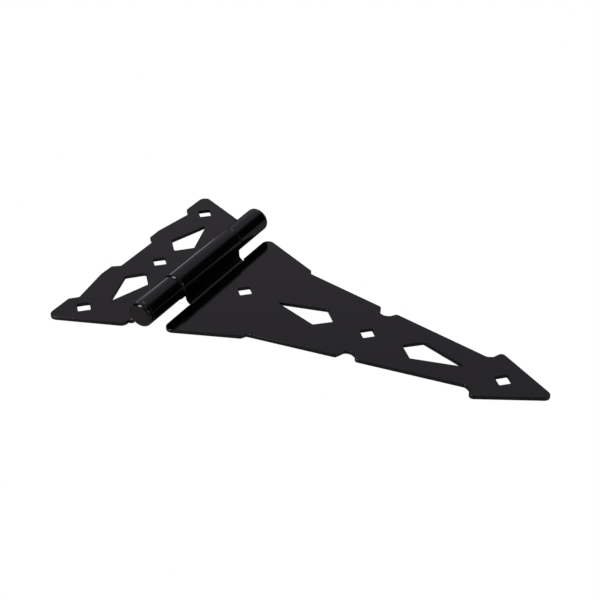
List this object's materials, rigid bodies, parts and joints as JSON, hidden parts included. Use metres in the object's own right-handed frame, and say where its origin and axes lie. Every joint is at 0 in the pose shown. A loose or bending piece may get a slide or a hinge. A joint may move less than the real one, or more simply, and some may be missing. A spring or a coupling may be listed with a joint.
{
  "type": "tee strap hinge",
  "caption": "Ornamental tee hinge for a gate or door: an arrow-shaped strap leaf and a shaped tee leaf turn on a headed pin above their face.",
  "frame": {"origin": "on the plane of the two leaves' backs, straight under the middle of the pin", "axes": "+X from the pin towards the strap leaf's tip, +Y along the pin from its head to its cap, +Z from the backs towards the pin"},
  "size_m": [0.3176, 0.1806, 0.0222],
  "materials": {
    "black_coated_steel": "semi-gloss black coat on sheet steel",
    "black_coated_pin": "semi-gloss black coat on turned steel",
    "bushing_plastic": "black moulded acetal"
  },
  "bodies": {
    "post_side": {"tee_leaf": "black_coated_steel", "hinge_pin": "black_coated_pin", "pin_end_cap": "black_coated_pin"},
    "door_side": {"strap_leaf": "black_coated_steel", "head_end_bushing": "bushing_plastic", "cap_end_bushing": "bushing_plastic"}
  },
  "joints": [
    {"name": "leaf_swing", "type": "hinge", "parent": "post_side", "child": "door_side", "pos_m": [0, 0, 0.0127], "axis": [0, -1, 0], "range_deg": [-80, 180]}
  ]
}
